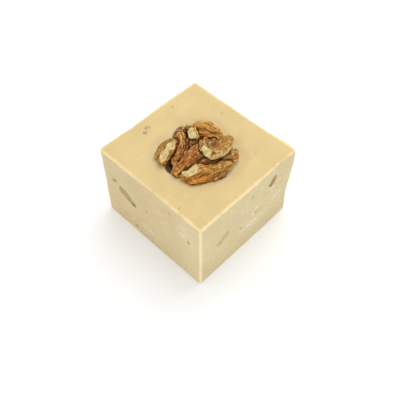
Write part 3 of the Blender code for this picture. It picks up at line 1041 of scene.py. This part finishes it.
# %% The crumb of the cut
# Rough patches of the sides, where the cut tore out crumbs:
# (side, place along it, height, half length, half height).
ROUGH_PATCHES = [
    ("front", 18.2, 24.5, 4.4, 5.4), ("front", -2.0, 8.0, 4.0, 2.4), ("right", 3.4, 17.8, 2.6, 3.0),
    ("right", 4.0, 11.5, 8.5, 3.4), ("right", -3.6, 15.0, 2.4, 1.8), ("right", 16.0, 16.0, 3.6, 2.0),
    ("right", 13.0, 24.5, 3.0, 2.6), ("back", 3.0, 10.0, 5.0, 3.0), ("back", -9.0, 24.0, 4.0, 2.4),
    ("left", 8.5, 20.5, 3.6, 2.6), ("left", -6.0, 10.0, 5.0, 3.0),
]


def patch_reach(points, normals, side, at, up, half_length, half_height):
    """How far out of a patch each point is, 1 at its edge, and how squarely it faces that side."""
    outward, along = SIDE_AXES[side]
    reach = np.hypot((points @ along - at) / half_length, (points[:, 2] - up) / half_height)
    return reach, np.clip(normals @ outward, 0.0, 1.0)


def crumb_block(bm):
    """Fine relief along the normals: a crumbly cut on the sides, a faint waviness on the top."""
    points = points_of(bm)
    normals = normals_of(bm)
    side = 1.0 - np.abs(normals[:, 2])
    broad = soft_noise(points, 7.0, 3, seed=2.0)
    middle = soft_noise(points, 2.2, 3, seed=6.0)
    fine = soft_noise(points, 0.9, 2, seed=8.0)
    push = side * (0.10 * broad + 0.06 * middle + 0.04 * fine) + (1 - side) * (0.07 * broad + 0.015 * middle)
    for patch in ROUGH_PATCHES:
        reach, facing = patch_reach(points, normals, *patch)
        torn = facing * (1.0 - smooth_step(0.3, 1.1, reach))
        push += torn * (0.22 * soft_noise(points, 0.8, 2, seed=patch[2]) - 0.06)
    push *= smooth_step(0.0, 1.0, points[:, 2])
    put_points(bm, points + normals * push[:, None])


crumb_block(block)
print("rough patches:", len(ROUGH_PATCHES))

# %% [markdown]
# ## Holes for the nut, the nut bits and the pits
#
# The nut's hole is the nut itself, swollen by a hair, so that the fudge hugs every ridge and only a thin
# dark seam shows. In three places beside the nut the fudge stands away, which leaves a narrow cleft. Small
# pits are crumbled balls. All of these are cut by the manifold solver, which is quick on closed meshes.

# %% Shapes to cut away
SEAM = 0.12
HOLE_VOXEL = 0.3
# Hollows beside the nut: chains of balls, as for the ridges.
HOLLOWS = {
    "between_ridges": [
        (-2.6, -9.2, -0.2, 1.5), (-2.0, -11.0, -0.4, 1.9), (-0.9, -12.3, -0.4, 1.6),
        (0.4, -13.0, -0.2, 0.9),
    ],
    "behind_rim": [(-8.0, 2.3, -0.4, 0.8), (-7.3, 2.8, -0.5, 1.0), (-6.6, 3.0, -0.4, 0.8)],
    "behind_high_fold": [(8.6, 9.6, 0.2, 1.0), (10.3, 8.0, 0.0, 1.2), (11.0, 6.9, 0.3, 0.9)],
}
# Pits: (x, y, z, radius across, depth).
PITS = [
    (19.2, -24.3, 22.0, 1.2, 0.5), (-8.5, -24.4, 3.2, 0.7, 0.5), (10.4, -24.2, 29.4, 0.5, 0.35),
    (-1.9, -24.2, 18.6, 0.45, 0.4), (25.0, 2.5, 19.5, 0.8, 0.3), (25.0, 4.4, 16.2, 0.7, 0.25),
    (25.0, -3.8, 15.0, 0.8, 0.3), (25.1, 1.4, 28.0, 0.6, 0.25), (-20.0, -5.5, TOP, 1.0, 0.18),
    (-18.8, -7.6, TOP, 0.7, 0.16), (-6.5, 24.0, 12.0, 1.0, 0.5), (-25.1, 9.0, 20.5, 1.0, 0.5),
]


def crumbled_ball(bm, place, across, depth, seed):
    """A ball flattened towards the face that it lies on, with a crumbly skin."""
    made = bmesh.ops.create_icosphere(bm, subdivisions=3, radius=1.0)
    faces = (abs(place[0]) / (WIDTH / 2), abs(place[1]) / (DEPTH / 2), place[2] / TOP)
    flat_axis = int(np.argmax(faces))
    for vertex in made["verts"]:
        lump = 1.0 + 0.55 * noise.fractal(vertex.co * 1.4 + Vector((seed, 0, 0)), 1.0, 2.0, 3)
        size = Vector((across,) * 3)
        size[flat_axis] = depth
        vertex.co = Vector(a * b for a, b in zip(vertex.co * lump, size)) + Vector(place)


def hole_shapes(hole):
    """The nut's skin pushed out by the seam, joined with the hollows beside it."""
    put_points(hole, points_of(hole) + normals_of(hole) * SEAM)
    for rows in HOLLOWS.values():
        add_balls(hole, along_chain(rows))
    return joined(hole, HOLE_VOXEL)


def pit_shapes():
    bm = bmesh.new()
    for number, (x, y, z, across, depth) in enumerate(PITS):
        crumbled_ball(bm, (x, y, z), across, depth, seed=3.1 * number)
    return bm


print("hollows:", sorted(HOLLOWS), "pits:", len(PITS))

# %% [markdown]
# ## Pebbles of nut
#
# The slab was full of chopped walnut, and the knife went through some of it. Each bit starts as a lumpy
# pebble whose middle lies in a side of the block. The same pebble does two jobs: a copy of it cuts the
# pocket now, and later it is pressed flat to the side and dressed as nut.

# %% Nut bits in the sides
BIT_DEPTH = 2.4
POCKET_SEAM = -0.03
# The form of each bit is its side, place along it, height, half length, half height and turn in degrees.
# Then comes the tint of its face.
NUT_BITS = {
    "walnut_bit_front_large": (("front", -12.0, 18.2, 4.8, 1.9, -31), (176, 148, 100)),
    "walnut_bit_front_small": (("front", -18.5, 22.0, 1.0, 0.8, 30), (176, 154, 112)),
    "walnut_bit_right_brown": (("right", 12.3, 26.4, 2.4, 1.6, 52), (168, 128, 72)),
    "walnut_bit_right_crumb": (("right", 17.0, 23.5, 1.1, 0.9, 0), (230, 214, 176)),
    "walnut_bit_right_pale": (("right", -13.4, 18.0, 3.2, 1.8, 25), (198, 176, 118)),
    "walnut_bit_back_pale": (("back", 9.5, 22.5, 2.8, 1.8, -20), (202, 180, 124)),
    "walnut_bit_back_brown": (("back", -13.0, 11.5, 1.9, 1.5, 40), (170, 132, 80)),
    "walnut_bit_left_large": (("left", 6.5, 13.0, 3.6, 1.9, -15), (176, 148, 100)),
    "walnut_bit_left_brown": (("left", -12.5, 24.0, 2.0, 1.4, 60), (166, 128, 76)),
}


def side_point(side, along, height):
    outward, direction = SIDE_AXES[side]
    reach = side_reach(outward) + float(side_swell(side, along, height))
    return outward * reach + direction * along + (0, 0, height)


def pebble(form, swelling, subdivisions):
    """A lumpy ball of nut, half in and half out of its side of the block. Gives its bmesh and face place."""
    side, along, height, half_length, half_height, turn = form
    outward, direction = SIDE_AXES[side]
    bm = bmesh.new()
    bmesh.ops.create_icosphere(bm, subdivisions=subdivisions, radius=1.0)
    unit = points_of(bm)
    around = np.arctan2(unit[:, 1], unit[:, 0])
    lump = 1.0 + 0.10 * np.cos(3 * around + along) + 0.06 * np.sin(5 * around + height)
    lump += 0.12 * soft_noise(unit, 0.45, 3, seed=along)
    shaped = unit * (lump[:, None] * np.array([half_length, half_height, BIT_DEPTH]) + swelling)
    face = Vector(side_point(side, along, height))
    axes = Matrix((Vector(direction), Vector((0, 0, 1)), Vector(outward))).transposed().to_4x4()
    put_points(bm, shaped)
    spin = Matrix.Rotation(math.radians(turn), 4, "Z")
    bmesh.ops.transform(bm, matrix=Matrix.Translation(face) @ axes @ spin, verts=bm.verts)
    return bm, np.array(face)


print("nut bits:", len(NUT_BITS))


# %% Cut them out
def subtract(bm, cutter):
    """Cuts a closed shape out of the block and gives back the cut block."""
    mesh = bpy.data.meshes.new("cutter")
    cutter.to_mesh(mesh)
    cutter.free()
    tool = bpy.data.objects.new("cutter", mesh)
    bpy.context.scene.collection.objects.link(tool)
    settings = {"operation": "DIFFERENCE", "solver": "MANIFOLD", "object": tool}
    result = baked(bm, [("BOOLEAN", settings)])
    bpy.data.objects.remove(tool)
    return result


block = subtract(block, hole_shapes(nut_for_hole))
block = subtract(block, pit_shapes())
for bit_form, _ in NUT_BITS.values():
    pocket, _ = pebble(bit_form, POCKET_SEAM, subdivisions=4)
    block = subtract(block, pocket)
print("block after cutting:", len(block.verts), "points")

# %% [markdown]
# ## Where each colour of the fudge goes
#
# Before the fudge gets its finish, each point learns where it is: on the top or on a cut side, near the nut,
# in a torn patch, on a wall of the hole that gets painted shade, or on an edge. These are measured from the
# same shapes that made the relief, so the colours can't slip off the forms that they belong to.

# %% Torn patches and painted shade in the hole
# The ground between the nut's folds, which gets painted shade: x, y, radius.
NUT_MIDDLE = (1.5, -0.8, 9.0)
# From ball to ball of a hollow, as a share of the radius. A mask needs fewer balls than a cut.
HOLLOW_STEP = 0.4


def rough_mask(points, normals, wander):
    rough = np.zeros(len(points))
    for patch in ROUGH_PATCHES:
        reach, facing = patch_reach(points, normals, *patch)
        rough = np.maximum(rough, facing * (1.0 - smooth_step(0.35, 1.15, reach + 0.5 * wander)))
    return rough


def hole_shade_mask(points, close):
    """Painted shade: 1 on the walls of the hole, in the hollows, and where fudge shows between the nut's
    folds.
    """
    below = TOP - DIP_DEPTH - dents(points) - points[:, 2]
    mask = (close < 0.35) * smooth_step(0.05, 0.4, below)
    for rows in HOLLOWS.values():
        for x, y, z, radius in along_chain(rows, HOLLOW_STEP):
            reach = np.linalg.norm(points - np.array([x, y, z]), axis=1) - radius
            mask = np.maximum(mask, 1.0 - smooth_step(0.0, 0.5, reach))
    x, y, radius = NUT_MIDDLE
    under_nut = (np.hypot(points[:, 0] - x, points[:, 1] - y) < radius) * (close < 1.2)
    return np.maximum(mask, under_nut * smooth_step(0.2, 0.6, TOP - points[:, 2]))


print("torn patches:", len(ROUGH_PATCHES), "dark hollows:", len(HOLLOWS))

# %% Edges and specks
# Specks of nut dust in the surface: (x, y, z, radius in mm).
SPECKS = [
    (-20.6, -5.6, TOP, 0.9), (-19.6, -4.9, TOP, 0.6), (-18.8, -7.6, TOP, 0.8), (-21.2, 8.5, TOP, 0.6),
    (-6.1, 18.6, TOP, 0.7), (15.2, 13.4, TOP, 0.6), (13.5, -22.4, TOP, 0.4), (-8.6, -24.2, 3.2, 0.9),
    (10.5, -24.2, 29.6, 0.55), (-1.9, -24.2, 18.7, 0.5), (0.0, -24.4, 0.9, 0.6), (16.0, -24.3, 12.4, 0.6),
    (25.1, 1.4, 28.0, 0.7), (-25.2, -3.0, 8.0, 0.6), (12.0, 24.2, 6.0, 0.6),
]


def edge_mask(points, ragged):
    """1 along the rim of the top and the four upright edges."""
    past_x = np.abs(points[:, 0]) - WIDTH / 2
    past_y = np.abs(points[:, 1]) - DEPTH / 2
    from_rim = np.minimum(np.abs(np.maximum(past_x, past_y) + 0.3), 9.0)
    from_rim += np.maximum(0.0, TOP - points[:, 2] - 0.3)
    from_upright = 1.2 * (np.abs(past_x) + np.abs(past_y)) - 0.4
    return 1.0 - smooth_step(0.1, 0.9, np.minimum(from_rim, from_upright) + ragged)


def speck_mask(points, ragged):
    specks = np.zeros(len(points))
    for x, y, z, radius in SPECKS:
        reach = np.linalg.norm(points - np.array([x, y, z]), axis=1) / radius
        specks = np.maximum(specks, 1.0 - smooth_step(0.2, 1.2, reach + 1.6 * ragged))
    return specks


print("specks:", len(SPECKS))


# %% Paint the fudge's masks
def block_masks(points, normals):
    close = nut_distance(points)
    wander = 0.7 * soft_noise(points, 3.0, 3, seed=17.0)
    ragged = 0.35 * soft_noise(points, 1.6, 3, seed=15.0)
    return {
        "cut_side": smooth_step(0.35, 0.8, 1.0 - np.abs(normals[:, 2])),
        "near_nut": 1.0 - smooth_step(0.4, 3.8, close + 0.7 * wander),
        "height": np.clip(points[:, 2] / TOP, 0.0, 1.0),
        # Painted light on the front side, lighter towards its +x end.
        "painted_front_light": np.clip(-normals[:, 1], 0.0, 1.0) * smooth_step(6.0, 22.0, points[:, 0]),
        "rough": rough_mask(points, normals, wander),
        "painted_hole_shade": hole_shade_mask(points, close),
        "edge": edge_mask(points, ragged),
        "specks": speck_mask(points, ragged),
    }


for mask_name, mask in block_masks(points_of(block), normals_of(block)).items():
    paint(block, mask_name, mask)
    print(mask_name, "covers", round(float(mask.mean()), 3))

# %% [markdown]
# ## The fudge's finish
#
# Fudge is sugar, butter and cream, so light goes a little way into it and comes out warm. The top is a
# smooth buttery tan. The cut sides are paler and greyer, with a fine crumb and faint drag marks from the
# knife. They are painted darker towards the bottom, a painted shade, and the front side lighter towards its
# +x end, a painted light. The edges are rubbed lighter and carry a painted highlight too. The fudge round
# the walnut is painted lighter, a painted light against the shade that the nut casts, and the walls of the
# hole get a painted shade.


# %% Colours of the top and the sides
def top_colour(finish, cloud):
    ripple = finish.noise(3.2, where=finish.stretched((1.0, 0.4, 1.0), (0.0, 0.0, 0.6)))
    top = finish.mix(cloud, srgb(214, 190, 133), srgb(221, 196, 138))
    return finish.mix(ripple.between(0.5, 0.75) * 0.25, top, srgb(230, 209, 154))


def side_colour(finish, cloud, mottle, crumb, torn, rough):
    height, painted_front_light = finish.attributes("height", "painted_front_light")
    drag = finish.noise(1.0, where=finish.stretched((1.6, 1.6, 0.3)))
    side = finish.mix(cloud, srgb(210, 189, 144), srgb(217, 196, 150))
    # Painted shade: the sides get darker towards the bottom.
    side = finish.mix(height.between(0.45, 0.0) * 0.5, side, srgb(200, 180, 134))
    side = finish.mix(mottle.between(0.48, 0.70) * 0.35, side, srgb(228, 212, 174))
    side = finish.mix(mottle.between(0.45, 0.30) * 0.30, side, srgb(200, 178, 134))
    side = finish.mix(drag.between(0.58, 0.75) * 0.22, side, srgb(230, 213, 174))
    # Painted light: the front side gets lighter towards its +x end.
    side = finish.mix(painted_front_light * 0.5, side, srgb(228, 209, 166))
    side = finish.mix(rough * 0.35, side, srgb(230, 214, 176))
    side = finish.mix(crumb.between(0.36, 0.26) * (0.12 + 0.5 * rough), side, srgb(172, 144, 98))
    return finish.mix(torn.between(0.54, 0.68) * rough * 0.9, side, srgb(248, 239, 212))


print("buttery top", [round(channel, 2) for channel in srgb(214, 190, 133)], "in linear light")


# %% Fudge finish
def fudge_finish():
    finish = Finish("fudge_surface")
    cut_side, rough, edge = finish.attributes("cut_side", "rough", "edge")
    near_nut, painted_hole_shade, specks = finish.attributes("near_nut", "painted_hole_shade", "specks")
    cloud = finish.noise(9.0, detail=2.0).between(0.3, 0.7)
    mottle = finish.noise(1.7, detail=4.0, roughness=0.6)
    crumb = finish.noise(0.6, detail=4.0, roughness=0.65)
    torn = finish.noise(1.1, detail=2.0)
    side = side_colour(finish, cloud, mottle, crumb, torn, rough)
    colour = finish.mix(cut_side, top_colour(finish, cloud), side)
    # The edges are rubbed lighter, and this mix also paints a highlight along them.
    colour = finish.mix(edge * 0.7, colour, srgb(248, 229, 182))
    # Painted light: the fudge round the nut is lighter, against the shade that the nut casts on it.
    colour = finish.mix(near_nut * 0.35, colour, srgb(240, 222, 182))
    # Painted shade on the walls of the hole, in the hollows and between the nut's folds.
    colour = finish.mix(painted_hole_shade * 0.92, colour, srgb(88, 48, 18))
    colour = finish.mix(specks * mottle.between(0.3, 0.6) * 0.6, colour, srgb(136, 112, 78))
    grain = crumb * (0.10 + 0.35 * cut_side + 0.4 * rough) + torn * rough * 1.2
    return finish.surface(
        Base_Color=colour,
        Roughness=0.46 + 0.14 * cut_side + 0.08 * mottle + 0.3 * painted_hole_shade,
        Normal=finish.bumps((mottle * (0.06 + 0.5 * cut_side), 0.10), (grain, 0.12)),
        Specular_IOR_Level=0.3,
        Subsurface_Weight=0.35,
        Subsurface_Radius=(1.0, 0.62, 0.3),
        Subsurface_Scale=2.5 * MM,
    )


finished("fudge_block_crumb", block, fudge_finish(), "fudge_block")

# %% [markdown]
# ## The cut faces of the nut bits
#
# The knife that cut the sides went through the pebbles too, so each one's face lies in the side of the
# block. The face shows pale flesh with a darker line of skin round it, a little smeared with fudge, and the
# line is made darker on its lower side as painted shade. Pressing the outer half of the pebble flat keeps
# its closed skin, which a cut with a plane would have to mend.

# %% Finish of a cut face
# Bits darker than this sum of a tint's three numbers kept their brown skin.
MOST_BROWN = 460
BROWN_RIND = 0.9
PALE_RIND = 0.3
# Red, green and blue of a bit's darkest and palest spots, as shares of its tint.
DARK_SHARES = (0.50, 0.42, 0.30)
PALE_SHARES = (1.25, 1.28, 1.35)


def bit_finish(name, tint):
    finish = Finish(name)
    rind_and_shade = finish.attribute("rind_and_shade") * (BROWN_RIND if sum(tint) < MOST_BROWN else PALE_RIND)
    blotch = finish.noise(1.1)
    speckle = finish.noise(0.35, roughness=0.6)
    flesh = srgb(*tint)
    dark = tuple(channel * share for channel, share in zip(flesh, DARK_SHARES))
    pale = tuple(min(1.0, channel * share) for channel, share in zip(flesh, PALE_SHARES))
    colour = finish.mix(blotch.between(0.35, 0.62) * 0.9, pale, flesh)
    colour = finish.mix(speckle.between(0.52, 0.34) * 0.5, colour, dark)
    colour = finish.mix(rind_and_shade, colour, dark)
    normal = finish.bumps((blotch, 0.2), (speckle, 0.12))
    return finish.surface(Base_Color=colour, Roughness=0.5 + 0.1 * blotch, Normal=normal)


print("bits with brown skin:", [name for name, (_, tint) in NUT_BITS.items() if sum(tint) < MOST_BROWN])


# %% Dress the bits
def nut_bit(name, form, tint):
    """The pebble with its outer half pressed flat, a hair below the side, with a little relief."""
    side, along, height, half_length, _, turn = form
    bm, face = pebble(form, 0.0, subdivisions=5)
    outward, direction = SIDE_AXES[side]
    points = points_of(bm)
    out = (points - face) @ outward
    relief = 0.12 * soft_noise(points, 1.0, 3, seed=height) - 0.05
    pressed = np.minimum(out, relief)
    put_points(bm, points + outward * (pressed - out)[:, None])
    sideways = np.linalg.norm(points - face - out[:, None] * outward, axis=1)
    # The rind is the bit's brown skin, made stronger on the lower side as painted shade.
    lower = points @ direction - along - 1.3 * (points[:, 2] - height)
    lower = smooth_step(-0.5, 0.6, lower / half_length)
    rim = sideways / np.maximum(sideways[out > 0.5].max(), 0.1)
    rim += 0.15 * soft_noise(points, 0.8, 2, seed=turn)
    paint(bm, "rind_and_shade", smooth_step(0.45, 0.95, rim) * (0.25 + 0.75 * lower))
    bmesh.ops.recalc_face_normals(bm, faces=bm.faces)
    finished(f"{name}_face", bm, bit_finish(f"{name}_flesh", tint), name)


for bit_name, (bit_form, bit_tint) in NUT_BITS.items():
    nut_bit(bit_name, bit_form, bit_tint)
